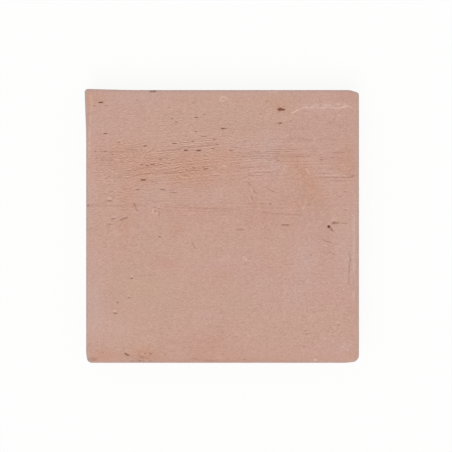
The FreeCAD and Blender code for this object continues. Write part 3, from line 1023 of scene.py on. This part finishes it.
    def masks(self, x: Array, y: Array) -> dict[str, Array]:
        """The amount of each tone, pit with its painted shade, grit, pale mark with the pits' painted
        highlights, line and stroke, and the strokes' own height.

        Args:
            x: Where they are read, along +X.
            y: Where they are read, along +Y.

        Returns:
            The amounts by attribute name.
        """
        bent_x = x + self.warp * cloud_noise(x / self.warp_width, y / self.warp_width, Seed.WARP_X)
        bent_y = y + self.warp * cloud_noise(x / self.warp_width, y / self.warp_width, Seed.WARP_Y)
        masks = {tone.value: np.zeros_like(x) for tone in Tone}
        for tone, marks in BLOTCHES.items():
            for mark in marks:
                masks[tone.value] += mark.cloud(bent_x, bent_y)
        masks["grit"] = self.ovals(GRITS, x, y, Seed.GRIT_EDGE)
        # The pit mask is the painted shade on each pit's near wall; the painted highlights on the far lips
        # join the pale marks
        masks["hollow"], masks["pit"], lip = self.hollows(x, y)
        masks["chalk_and_highlight"] = np.maximum(self.ovals(CHALKS_AND_HIGHLIGHTS, x, y, Seed.CHALK_EDGE), lip)
        masks["crack"] = np.zeros_like(x)
        flecks = cloud_noise(x / self.fleck_width, y / self.fleck_width, Seed.FLECK, 2)
        flecks = self.fleck_swing * flecks - self.fleck_loss
        for kind, scratches in SCRATCHES.items():
            for scratch in scratches:
                whole = np.clip(1.0 + scratch.broken * flecks, 0.0, self.fleck_peak)
                masks[kind.value] = np.maximum(masks[kind.value], scratch.amount(x, y) * whole)
        masks["wiped"] = self.stroke_mask(WIPED, x, y)
        masks["combed"] = self.stroke_mask(COMBED, x, y)
        masks["stroke"] = self.stroke(x, y)
        return masks

    def relief(self, x: Array, y: Array, masks: dict[str, Array]) -> Array:
        """How far the face lies under the solid's: the sum of all hollows and swells, less the ridges.

        Args:
            x: Where it is read, along +X.
            y: Where it is read, along +Y.
            masks: What masks() gives there.

        Returns:
            Depths, never above the solid.
        """
        edge = np.maximum(self.edge_distance(x, y), 0.0)
        depth = self.headroom + self.edge_fall * np.exp(-((edge / self.edge_reach) ** 2))
        swell = cloud_noise(x / self.swell_width, y / self.swell_width, Seed.SWELL, 2)
        groove = cloud_noise(x / self.groove_length, masks["stroke"] / self.groove_pitch, Seed.GROOVE, 2)
        grain = cloud_noise(x / self.grain_width, y / self.grain_width, Seed.GRAIN, 3)
        depth += self.swell * from_zero(swell)
        depth += self.groove_depth * masks["wiped"] * from_zero(groove)
        depth += self.grain_relief * from_zero(grain)
        depth += self.pit_depth * masks["hollow"]
        depth += self.crack_depth * masks["crack"]
        depth += self.grit_depth * masks["grit"]
        depth -= self.ridge_height * masks["chalk_and_highlight"]
        return np.maximum(depth, 0.0)


def border_loop(grid: Array) -> Array:
    """The border of a grid of vertex numbers, anticlockwise from the front left, each vertex once."""
    return np.concatenate([grid[0, :-1], grid[:-1, -1], grid[-1, :0:-1], grid[:0:-1, 0]])


def grid_cells(grid: Array) -> Array:
    """The cells of a grid of vertex numbers as rows of four, anticlockwise as seen from above."""
    corners = (grid[:-1, :-1], grid[:-1, 1:], grid[1:, 1:], grid[1:, :-1])
    return np.stack(corners, axis=-1).reshape(-1, 4)


@dataclass
class TileBody:
    """The whole tile as one closed skin: a fine grid for the face, rings for the rim and sides, and a back.

    The face's grid fills a square inside the outline. Each point on the grid's border starts a line that
    runs out over the rim, down the side and in under the back.
    """

    low: Point3
    high: Point3
    columns: int = 168  # cells of the face's grid along X
    rows: int = 240  # and along Y
    row_bias: float = 0.22  # how much closer the rows lie at the back, where most pits are
    split: int = 3  # a cell with a pit or a line is split into this many by this many
    back_step: int = 8  # this many border cells to one cell of the back
    border: float = 5.0  # from the outline in to the grid
    apron_steps: int = 4  # steps between the grid and the fall of the rim
    fall_width: float = 1.8  # the section of the rim, as in the solid
    fall_depth: float = 0.35
    rim_radius: float = 1.0
    land_height: float = 5.0
    side_taper: float = 0.8
    back_bevel: float = 0.6
    fall_steps: int = 2  # and the steps that it is drawn in
    rim_steps: int = 6
    side_steps: int = 12
    side_relief: float = 0.3  # drag marks and sand on the sides, cut inwards
    side_mark: Pair = (14.0, 2.2)  # length and height of those marks
    side_top: Pair = (1.0, 4.0)  # they start, and are whole, this far under the face
    side_foot: float = 1.5  # and fade over this height above the back
    face_fade: Pair = (1.1, 0.25)  # the face's relief and marks start, and are whole, this far under it
    shade_front: float = 0.75  # how far painted shade greys and darkens the arris at the front
    shade_back: float = 0.6
    shade_side: float = 0.9
    shade_inset: Pair = (2.3, 0.5)  # that painted shade starts, and is whole, this far in from the outline
    shade_depth: Pair = (7.0, 0.9)  # and this far under the face
    shade_patch: float = 5.0  # length of the patches that it comes and goes in
    shade_swing: float = 0.4  # and how far patches differ
    sand_top: float = 1.5  # the sandy sides start this far under the face
    sand_foot: float = 1.0  # and are sandiest from this height down

    def __post_init__(self) -> None:
        """Takes the nominal square and the thickness from the solid's box."""
        self.half = self.high[0]
        self.thickness = self.high[2] - self.low[2]
        self.outline = Outline(self.half)
        self.face = ClayFace(self.half)

    def section(self) -> tuple[Array, Array]:
        """The edge in section: the fall's line, the rim's arc, the upright land, the taper and the bevel.

        Returns:
            How far each ring lies in from the outline, and its height.
        """
        slope = math.atan2(self.fall_depth, self.fall_width)
        touch = self.rim_radius * (1.0 - math.sin(slope))
        touch_height = self.thickness - self.fall_depth + touch * math.tan(slope)
        middle = touch_height - self.rim_radius * math.cos(slope)
        turn = np.linspace(math.pi / 2.0 - slope, 0.0, self.rim_steps + 1)
        fall = np.linspace(self.fall_width, touch, self.fall_steps + 1)[:-1]
        taper_top = self.thickness - self.land_height
        side = np.linspace(middle, self.back_bevel, self.side_steps + 1)[1:]
        inset = np.concatenate(
            [
                fall,
                self.rim_radius * (1.0 - np.cos(turn)),
                self.side_taper * np.clip((taper_top - side) / taper_top, 0.0, 1.0),
                [self.side_taper + self.back_bevel],
            ]
        )
        height = np.concatenate(
            [
                self.thickness - (self.fall_width - fall) * math.tan(slope),
                middle + self.rim_radius * np.sin(turn),
                side,
                [0.0],
            ]
        )
        return inset, height

    def lattice(self) -> tuple[Array, Array]:
        """The face's fine lattice: even columns, and rows at v + bias v (1 - v), closer at the back.

        Returns:
            X of its columns and Y of its rows, with the split cells' lines.
        """
        reach = self.half - self.border
        across = np.linspace(-reach, reach, self.columns * self.split + 1)
        v = np.linspace(0.0, 1.0, self.rows * self.split + 1)
        along = reach * (2.0 * (v + self.row_bias * v * (1.0 - v)) - 1.0)
        return across, along

    def face_cells(self, across: Array, along: Array) -> tuple[Array, list[list[int]]]:
        """The face's cells: whole ones where it is plain, split ones round the pits and lines.

        A whole cell beside a split one takes the split edge's points into its own edge, so no gap is left.

        Args:
            across: X of the fine lattice's columns.
            along: Y of its rows.

        Returns:
            The vertex number at each point of the fine lattice, or -1, and the faces.
        """
        step = self.split
        half_cell = step // 2
        fine = self.face.sharp(*np.meshgrid(across[half_cell::step], along[half_cell::step]))
        # The border's cells stay whole, so that the rings fit them
        fine[[0, -1]] = False
        fine[:, [0, -1]] = False
        split_cells = np.repeat(np.repeat(fine, step, axis=0), step, axis=1)
        used = np.zeros((along.size, across.size), dtype=bool)
        used[::step, ::step] = True
        used[:-1, :-1] |= split_cells
        used[:-1, 1:] |= split_cells
        used[1:, :-1] |= split_cells
        used[1:, 1:] |= split_cells
        numbers = np.where(used, np.cumsum(used).reshape(used.shape) - 1, -1)
        faces = grid_cells(numbers)[split_cells.ravel()].tolist()
        # The way round each whole cell, past every point of the fine lattice on its edge
        go, stay = np.arange(step), np.zeros(step, dtype=int)
        down = np.concatenate([stay, go, stay + step, step - go])
        right = np.concatenate([go, stay + step, step - go, stay])
        row, column = np.nonzero(~fine)
        walks = numbers[row[:, None] * step + down, column[:, None] * step + right]
        plain = (walks >= 0).sum(axis=1) == 4
        faces += walks[plain][:, ::step].tolist()
        faces += [walk[walk >= 0].tolist() for walk in walks[~plain]]
        return numbers, faces

    def rings(self, start: Array) -> tuple[Array, Array, Array, Array]:
        """The rings round the face's grid: an apron of straight blends, then the section along the outline.

        The point of the outline that goes with a border point is found by sharing out each side of the
        outline, from the middle of one corner's arc to the next, as the border point shares out its side of
        the square.

        Args:
            start: The grid's border points as rows of x and y, anticlockwise from the front left.

        Returns:
            The rings' points, their outward directions, and the inset and height of each ring.
        """
        inset, height = self.section()
        run = np.hypot(*(np.roll(start, -1, axis=0) - start).T)
        gone = np.concatenate([[0.0], np.cumsum(run)[:-1]])
        side = 2.0 * (self.half - self.border)
        middles = self.outline.corner_middles()
        middles = np.concatenate([middles, [middles[0] + self.outline.length]])
        points, outward = self.outline.at(np.interp(gone, side * np.arange(len(middles)), middles))
        rim = points[None] - outward[None] * inset[:, None, None]
        share = (np.arange(1, self.apron_steps) / self.apron_steps)[:, None, None]
        apron = start[None] + (rim[0] - start)[None] * share
        apron_inset = self.border + (inset[0] - self.border) * share[:, 0, 0]
        plan = np.concatenate([apron, rim])
        inset = np.concatenate([apron_inset, inset])
        height = np.concatenate([np.full(self.apron_steps - 1, self.thickness), height])
        return plan, outward, inset, height

    def side_cut(self, plan: Array, outward: Array, height: Array) -> Array:
        """Drag marks on the sides: cloudy noise along X on the front and back, and along Y on the others.

        Args:
            plan: Points as rows of x and y.
            outward: Outward directions there.
            height: Heights there.

        Returns:
            How far each point is cut in, 0 at the rim and the back.
        """
        length, tall = self.side_mark
        along_x = cloud_noise(plan[..., 0] / length, height / tall, Seed.SIDE_X)
        along_y = cloud_noise(plan[..., 1] / length, height / tall, Seed.SIDE_Y)
        weight = outward**2
        noise = weight[..., 1] * along_x + weight[..., 0] * along_y
        window = smooth_step(self.thickness - height, *self.side_top)
        window *= smooth_step(height, 0.0, self.side_foot)
        return self.side_relief * window * from_zero(noise)

    def arris_shade_amount(self, plan: Array, outward: Array, inset: Array) -> Array:
        """How far painted shade greys and darkens the arris: a level for each way it faces, which fades
        with the inset, in patches.

        Args:
            plan: The rings' points as rows of x and y.
            outward: Outward directions along a ring.
            inset: How far each ring lies in from the outline.

        Returns:
            The amount at each point of each ring, from 0 to 1.
        """
        facing = np.where(outward[:, 1] < 0.0, self.shade_front, self.shade_back) * outward[:, 1] ** 2
        facing += self.shade_side * outward[:, 0] ** 2
        patchy = cloud_noise(plan[..., 0] / self.shade_patch, plan[..., 1] / self.shade_patch, Seed.ARRIS)
        shaded = smooth_step(inset, *self.shade_inset)[:, None] * facing
        return np.clip(shaded * (1.0 + self.shade_swing * patchy), 0.0, 1.0)

    def back_faces(self, loop: Array, inner: Array) -> list[list[int]]:
        """The back: a coarse grid, with cells of many sides where it meets the fine border.

        Args:
            loop: The fine border's vertex numbers, anticlockwise from above.
            inner: The coarse grid's vertex numbers, one coarse cell in from the border.

        Returns:
            Faces as lists of vertex numbers, turned to face down.
        """
        step = self.back_step
        counts = (self.columns // step, self.rows // step) * 2
        ring = border_loop(inner)
        faces = grid_cells(inner)[:, ::-1].tolist()
        start, inner_start = 0, 0
        for count in counts:
            corner = loop[(start + np.arange(-step, step + 1)) % len(loop)]
            faces.append([*corner.tolist(), int(ring[inner_start])][::-1])
            cell = np.arange(1, count - 1)[:, None]
            outer = loop[(start + cell * step + np.arange(step + 1)) % len(loop)]
            pair = ring[(inner_start + cell - np.arange(2)) % len(ring)]
            faces += np.concatenate([outer, pair], axis=1)[:, ::-1].tolist()
            start += count * step
            inner_start += count - 2
        return faces

    def build(self) -> bpy.types.Object:
        """Makes the skin as one mesh, with its masks as attributes.

        Returns:
            The object, at the origin, with its place in its mesh.
        """
        across, along = self.lattice()
        numbers, faces = self.face_cells(across, along)
        row, column = np.nonzero(numbers >= 0)
        x, y = across[column], along[row]
        edge = border_loop(numbers[:: self.split, :: self.split])
        start = np.stack([x[edge], y[edge]], axis=1)
        plan, outward, inset, height = self.rings(start)
        coarse = self.split * self.back_step
        inner_x, inner_y = np.meshgrid(across[coarse:-1:coarse], along[coarse:-1:coarse])

        # All points: the face's, the rings', the grid's border again on the back, and the back's own
        ring_count, loop_count = plan.shape[:2]
        heights = np.repeat(height[:, None], loop_count, axis=1)
        directions = np.broadcast_to(outward, plan.shape)
        plan = plan - directions * self.side_cut(plan, directions, heights)[..., None]
        all_x = np.concatenate([x, plan[..., 0].ravel(), start[:, 0], inner_x.ravel()])
        all_y = np.concatenate([y, plan[..., 1].ravel(), start[:, 1], inner_y.ravel()])
        flat = np.zeros(start.shape[0] + inner_x.size)
        all_z = np.concatenate([np.full(x.size, self.thickness), heights.ravel(), flat])

        # The masks, and the relief, which ends at the rim
        under = self.thickness - all_z
        upper = smooth_step(under, *self.face_fade)
        masks = self.face.masks(all_x, all_y)
        depth = self.face.relief(all_x, all_y, masks)
        for name in FACE_MASKS:
            masks[name] = masks[name] * upper
        # Painted shade on the arris, greyer and darker by the way the edge faces
        shaded = self.arris_shade_amount(plan, outward, inset)
        masks["arris"] = np.concatenate([np.zeros(x.size), shaded.ravel(), flat])
        masks["arris"] *= smooth_step(under, *self.shade_depth)
        masks["sand"] = smooth_step(under, self.sand_top, self.thickness - self.sand_foot)
        all_z = all_z - depth * upper

        # The faces: bands from the grid's border round to the same border on the back, and the back
        loops = x.size + np.arange((ring_count + 1) * loop_count).reshape(-1, loop_count)
        loops = np.concatenate([edge[None], loops])
        ahead = np.roll(loops, -1, axis=1)
        band = np.stack([loops[:-1], loops[1:], ahead[1:], ahead[:-1]], axis=-1).reshape(-1, 4)
        inner = (all_x.size - inner_x.size + np.arange(inner_x.size)).reshape(inner_x.shape)
        back = self.back_faces(loops[-1], inner)
        faces += band.tolist() + back

        mesh = bpy.data.meshes.new("tile_body")
        mesh.from_pydata((np.stack([all_x, all_y, all_z], axis=1) * METRES).tolist(), [], faces)
        mesh.polygons.foreach_set("use_smooth", np.arange(len(faces)) < len(faces) - len(back))
        for name in MASKS:
            layer = mesh.attributes.new(name, "FLOAT", "POINT")
            layer.data.foreach_set("value", masks[name].astype(np.float32))
        mesh.update()
        piece = bpy.data.objects.new("tile_body", mesh)
        bpy.context.scene.collection.objects.link(piece)
        return piece

    def dress(self, piece: bpy.types.Object, finish: TerracottaFinish) -> None:
        """Gives the piece its finish and its body, and hides the solid that it stands for.

        Args:
            piece: The skin that build() made.
            finish: What it is made of.
        """
        piece.data.materials.append(finish.material())
        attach(piece, "root")
        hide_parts(TILE_NODE)


# Finishes


def linear(colour: str) -> tuple[float, float, float, float]:
    """Turns an sRGB hex colour into linear light, by the usual sRGB curve.

    Args:
        colour: Six hex digits after a number sign.

    Returns:
        Red, green, blue and an alpha of 1.
    """
    shares = [int(colour[i : i + 2], 16) / 255.0 for i in (1, 3, 5)]
    light = [s / 12.92 if s <= 0.04045 else ((s + 0.055) / 1.055) ** 2.4 for s in shares]
    return (light[0], light[1], light[2], 1.0)


def per_metre(size: float) -> float:
    """The scale at which a pattern's features are that many millimetres wide."""
    return 1.0 / (size * METRES)


def add_node(
    tree: bpy.types.NodeTree, kind: str, settings: dict[str, object], inputs: dict[str | int, object]
) -> bpy.types.Node:
    """Adds a node with its settings, its input values and its links.

    Args:
        tree: Where it goes.
        kind: Blender's name for the node.
        settings: Properties of the node by name.
        inputs: Values, or sockets to link, by the input's name or number.

    Returns:
        The node.
    """
    node = tree.nodes.new(kind)
    for name, value in settings.items():
        setattr(node, name, value)
    for name, value in inputs.items():
        if isinstance(value, bpy.types.NodeSocket):
            tree.links.new(value, node.inputs[name])
        else:
            node.inputs[name].default_value = value
    return node


@dataclass(frozen=True)
class Pattern:
    """A noise in the clay: the length and width of its features, how far it is broken up, and its share."""

    length: float
    width: float
    detail: float
    share: float  # how strongly it lightens and darkens the clay

    def shade(self, tree: bpy.types.NodeTree, place: bpy.types.NodeSocket) -> bpy.types.NodeSocket:
        """Adds the noise, less a half, to a material.

        Args:
            tree: The material's nodes.
            place: Where the noise is read.

        Returns:
            The noise, from -0.5 to 0.5.
        """
        scale = (per_metre(self.length), per_metre(self.width), per_metre(self.width))
        spot = add_node(tree, "ShaderNodeMapping", {}, {"Vector": place, "Scale": scale}).outputs[0]
        look = {"Vector": spot, "Scale": 1.0, "Detail": self.detail}
        noise = add_node(tree, "ShaderNodeTexNoise", {}, look).outputs["Fac"]
        return add_node(tree, "ShaderNodeMath", {"operation": "SUBTRACT"}, {0: noise, 1: 0.5}).outputs[0]


@dataclass(frozen=True)
class Ripple:
    """Fine ripples along the wiping strokes: their pitch, the size of each dash, and their share."""

    pitch: float
    length: float
    width: float
    share: float
    wander: float = 4.0  # they drift from line over this many dashes
    swing: float = 15.0  # and are set off by this many radians at most

    def shade(
        self,
        tree: bpy.types.NodeTree,
        place: bpy.types.NodeSocket,
        stroke: bpy.types.NodeSocket,
        mask: bpy.types.NodeSocket,
    ) -> bpy.types.NodeSocket:
        """Adds the ripples to a material: sin(2 pi h / pitch + phase), where h is the strokes' own height.

        The phase is a broad noise, which drifts the ripples from line. A finer one breaks them into dashes.

        Args:
            tree: The material's nodes.
            place: Where the noises are read, with the strokes' own height as its Y.
            stroke: That height in millimetres.
            mask: How plainly the ripples show.

        Returns:
            The ripples, from -0.5 to 0.5.
        """
        noises = []
        for spread, detail in ((self.wander, 0.0), (1.0, 1.0)):
            scale = (per_metre(self.length * spread), per_metre(self.width * spread), 1.0)
            spot = add_node(tree, "ShaderNodeMapping", {}, {"Vector": place, "Scale": scale}).outputs[0]
            look = {"Vector": spot, "Scale": 1.0, "Detail": detail}
            noise = add_node(tree, "ShaderNodeTexNoise", {"noise_dimensions": "2D"}, look)
            noises.append(noise.outputs["Fac"])
        swung = {0: noises[0], 1: self.swing}
        phase = add_node(tree, "ShaderNodeMath", {"operation": "MULTIPLY"}, swung).outputs[0]
        turned = {0: stroke, 1: 2.0 * math.pi / self.pitch, 2: phase}
        turn = add_node(tree, "ShaderNodeMath", {"operation": "MULTIPLY_ADD"}, turned).outputs[0]
        wave = add_node(tree, "ShaderNodeMath", {"operation": "SINE"}, {0: turn}).outputs[0]
        centred = {0: noises[1], 1: 0.5}
        dash = add_node(tree, "ShaderNodeMath", {"operation": "SUBTRACT"}, centred).outputs[0]
        masked = {0: wave, 1: mask}
        shown = add_node(tree, "ShaderNodeMath", {"operation": "MULTIPLY"}, masked).outputs[0]
        return add_node(tree, "ShaderNodeMath", {"operation": "MULTIPLY"}, {0: shown, 1: dash}).outputs[0]


@dataclass(frozen=True)
class TerracottaFinish:
    """Terracotta: iron-bearing clay, moulded by hand, wiped wet and fired without a glaze.

    The eye sees a dull, dry, fine-grained pink that the kiln has clouded with ochre and rose, streaks along
    the wiping strokes, dark open pores with painted shade on their near walls and painted highlights on
    their far lips, and an arris greyed and darkened by painted shade.
    """

    clay: str = "#C59E90"
    ochre: str = "#C39680"
    rose: str = "#C49A8A"
    buff: str = "#C4A08E"
    lilac: str = "#C5A49A"
    smoke: str = "#BC978B"
    # dark of the open pores, and the painted shade on their near walls
    pore_and_shade: str = "#63352B"
    crack: str = "#8E6152"
    grit: str = "#76412F"
    # pale marks, and the painted highlights on the pits' far lips
    chalk_and_highlight: str = "#E2C6B8"
    # grey of the painted shade on the arris
    arris: str = "#B99F96"
    sand: str = "#CBAA99"
    dust: str = "#C4ADA3"  # the pale grains that the patterns below add and take away
    grain: Pattern = Pattern(0.85, 0.75, 0.0, 0.29)  # coarser than the real 0.2 mm grain, so that it shows
    streak: Pattern = Pattern(2.6, 0.75, 0.0, 0.2)  # grains drawn out by the wiping
    cloud: Pattern = Pattern(14.0, 14.0, 3.0, 0.06)
    wiped: Ripple = Ripple(1.6, 2.2, 3.2, 1.2)  # short marks of the wiping hand
    combed: Ripple = Ripple(1.6, 60.0, 3.0, 1.0)  # and long ones
    sand_cover: float = 0.8
    roughness: float = 0.9
    specular: float = 0.2
    bump_height: float = 0.16

    def material(self) -> bpy.types.Material:
        """Builds the material: the kiln's colours, the patterns in the clay, the marks on it, with the
        painted shade and highlights of the pits and the painted shade on the arris, and the bump.

        Returns:
            The material.
        """
        material = bpy.data.materials.new("fired_terracotta")
        material.use_nodes = True
        tree = material.node_tree
        tree.nodes.clear()
        masks = {
            name: add_node(tree, "ShaderNodeAttribute", {"attribute_name": name}, {}).outputs["Fac"]
            for name in MASKS
        }
        place = add_node(tree, "ShaderNodeTexCoord", {}, {}).outputs["Object"]
        apart = add_node(tree, "ShaderNodeSeparateXYZ", {}, {"Vector": place}).outputs
        stroke = {0: masks["stroke"], 1: METRES}
        height = add_node(tree, "ShaderNodeMath", {"operation": "MULTIPLY"}, stroke).outputs[0]
        bent = {"X": apart["X"], "Y": height, "Z": apart["Z"]}
        stroke_place = add_node(tree, "ShaderNodeCombineXYZ", {}, bent).outputs[0]
        shades = []
        for pattern in (self.grain, self.streak, self.cloud):
            shades.append((pattern.shade(tree, place), pattern.share))
        for ripple, mask in ((self.wiped, masks["wiped"]), (self.combed, masks["combed"])):
            shades.append((ripple.shade(tree, stroke_place, masks["stroke"], mask), ripple.share))

        # Inputs 0, 6 and 7 of a colour mix are its amount and its two colours, and output 2 is the mix
        colour: object = linear(self.clay)
        covered = {0: masks["sand"], 1: self.sand_cover}
        sand = add_node(tree, "ShaderNodeMath", {"operation": "MULTIPLY"}, covered).outputs[0]
        tones = [
            (self.smoke, masks[Tone.SMOKE.value]),
            (self.lilac, masks[Tone.LILAC.value]),
            (self.buff, masks[Tone.BUFF.value]),
            (self.rose, masks[Tone.ROSE.value]),
            (self.ochre, masks[Tone.OCHRE.value]),
            (self.sand, sand),
            # painted shade on the arris
            (self.arris, masks["arris"]),
        ]
        for paint, amount in tones:
            laid = {0: amount, 6: colour, 7: linear(paint)}
            colour = add_node(tree, "ShaderNodeMix", {"data_type": "RGBA"}, laid).outputs[2]
        shade: object = 0.0
        for noise, share in shades:
            added = {0: noise, 1: share, 2: shade}
            shade = add_node(tree, "ShaderNodeMath", {"operation": "MULTIPLY_ADD"}, added).outputs[0]
        dusting = {0: linear(self.dust)[:3], 1: shade, 2: colour}
        colour = add_node(tree, "ShaderNodeVectorMath", {"operation": "MULTIPLY_ADD"}, dusting).outputs[0]
        marks = [
            # pale marks, and painted highlights on the pits' far lips
            (self.chalk_and_highlight, masks["chalk_and_highlight"]),
            (self.crack, masks["crack"]),
            (self.grit, masks["grit"]),
            # the pits: dark pore colour and painted shade on their near walls
            (self.pore_and_shade, masks["pit"]),
        ]
        for paint, amount in marks:
            laid = {0: amount, 6: colour, 7: linear(paint)}
            colour = add_node(tree, "ShaderNodeMix", {"data_type": "RGBA"}, laid).outputs[2]

        bump_look = {"Strength": 1.0, "Distance": self.bump_height * METRES, "Height": shade}
        bump = add_node(tree, "ShaderNodeBump", {}, bump_look).outputs["Normal"]
        look = {
            "Base Color": colour,
            "Roughness": self.roughness,
            "Specular IOR Level": self.specular,
            "Normal": bump,
        }
        clay = add_node(tree, "ShaderNodeBsdfPrincipled", {}, look)
        add_node(tree, "ShaderNodeOutputMaterial", {}, {"Surface": clay.outputs["BSDF"]})
        return material


# Studio


@dataclass
class Studio:
    """A white floor and sky, a broad soft sun from the front, and a camera that looks straight down."""

    tile_side: float
    frame_pixels: float = 452.0
    tile_pixels: float = 272.6  # width of the nominal square in the photograph
    tile_middle: Point = (222.55, 226.45)  # its middle there, right and down from the frame's corner
    rim_height: float = 18.0  # height of the tile's widest part
    lens: float = 100.0
    sensor: float = 36.0
    sight: float = 100000.0  # how far the camera sees
    sky: float = 0.70  # share of the light that comes evenly from all sides
    sun: float = 0.30  # and from the front
    sun_lean: float = 38.0  # degrees from upright
    sun_turn: float = -14.0  # degrees about the upright
    sun_width: float = 40.0  # degrees across, for a soft edge to its shadow
    floor_size: float = 8000.0
    floor_white: str = "#F4F3F1"
    floor_glow: float = 0.9  # share of the floor that shows as plain white, the rest keeps the shadow

    def camera(self) -> None:
        """Sets the camera so that the tile has the photograph's size and place."""
        pixel = self.tile_side / self.tile_pixels
        middle = self.frame_pixels / 2.0
        data = bpy.data.cameras.new("overhead_camera")
        data.lens = self.lens
        data.sensor_width = self.sensor
        data.clip_end = self.sight * METRES
        camera = bpy.data.objects.new("overhead_camera", data)
        away = self.lens / self.sensor * self.frame_pixels * pixel
        right = (middle - self.tile_middle[0]) * pixel
        up = (self.tile_middle[1] - middle) * pixel
        camera.location = (right * METRES, up * METRES, (self.rim_height + away) * METRES)
        bpy.context.scene.collection.objects.link(camera)
        bpy.context.scene.camera = camera

    def seen(self, tree: bpy.types.NodeTree) -> bpy.types.NodeSocket:
        """What the camera sees, straight or in gloss or glass: the largest of three Light Path outputs.

        Args:
            tree: The node tree that needs it.

        Returns:
            The socket that is 1 for what is seen, and 0 for other light.
        """
        path = add_node(tree, "ShaderNodeLightPath", {}, {}).outputs
        straight = {0: path["Is Camera Ray"], 1: path["Is Glossy Ray"]}
        first = add_node(tree, "ShaderNodeMath", {"operation": "MAXIMUM"}, straight)
        both = {0: first.outputs[0], 1: path["Is Transmission Ray"]}
        return add_node(tree, "ShaderNodeMath", {"operation": "MAXIMUM"}, both).outputs[0]

    def light(self) -> None:
        """Sets the even sky and the soft sun."""
        world = bpy.data.worlds.new("white_sky")
        world.use_nodes = True
        tree = world.node_tree
        tree.nodes.clear()
        levels = {"Value": self.seen(tree), "To Min": self.sky, "To Max": 1.0}
        level = add_node(tree, "ShaderNodeMapRange", {}, levels).outputs[0]
        glow = add_node(tree, "ShaderNodeBackground", {}, {"Color": WHITE, "Strength": level})
        add_node(tree, "ShaderNodeOutputWorld", {}, {"Surface": glow.outputs[0]})
        bpy.context.scene.world = world
        lean = math.radians(self.sun_lean)
        data = bpy.data.lights.new("front_sun", "SUN")
        data.angle = math.radians(self.sun_width)
        data.energy = math.pi * self.sun / math.cos(lean)
        lamp = bpy.data.objects.new("front_sun", data)
        lamp.rotation_euler = (lean, 0.0, math.radians(self.sun_turn))
        bpy.context.scene.collection.objects.link(lamp)

    def floor(self) -> bpy.types.Object:
        """Lays the floor, white to the eye, with a faint shadow.

        Returns:
            The floor.
        """
        reach = self.floor_size / 2.0 * METRES
        corners = [(-reach, -reach, 0.0), (reach, -reach, 0.0), (reach, reach, 0.0), (-reach, reach, 0.0)]
        mesh = bpy.data.meshes.new("studio_floor")
        mesh.from_pydata(corners, [], [(0, 1, 2, 3)])
        floor = bpy.data.objects.new("studio_floor", mesh)
        bpy.context.scene.collection.objects.link(floor)
        material = bpy.data.materials.new("white_paper")
        material.use_nodes = True
        tree = material.node_tree
        tree.nodes.clear()
        paper = add_node(tree, "ShaderNodeBsdfDiffuse", {}, {"Color": linear(self.floor_white)})
        glow = add_node(tree, "ShaderNodeEmission", {}, {"Color": WHITE, "Strength": 1.0})
        shown = {0: self.seen(tree), 1: self.floor_glow}
        share = add_node(tree, "ShaderNodeMath", {"operation": "MULTIPLY"}, shown)
        layers = {0: share.outputs[0], 1: paper.outputs[0], 2: glow.outputs[0]}
        mixed = add_node(tree, "ShaderNodeMixShader", {}, layers)
        add_node(tree, "ShaderNodeOutputMaterial", {}, {"Surface": mixed.outputs[0]})
        mesh.materials.append(material)
        return floor


def main() -> None:
    """Builds the tile and the studio."""
    logging.basicConfig(level=logging.INFO, format="%(name)s: %(message)s")
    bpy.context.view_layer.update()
    low, high = (tuple(value / METRES for value in corner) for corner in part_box(TILE_NODE))
    tile = TileBody(low, high)
    piece = tile.build()
    tile.dress(piece, TerracottaFinish())
    LOG.info("%s: %d vertices, %d faces", piece.name, len(piece.data.vertices), len(piece.data.polygons))
    studio = Studio(2.0 * tile.half)
    studio.light()
    studio.camera()
    LOG.info("%s: laid under the tile", studio.floor().name)
    bpy.context.view_layer.update()
    bpy.context.scene.view_settings.view_transform = "Standard"


if __name__ == "__main__":
    main()
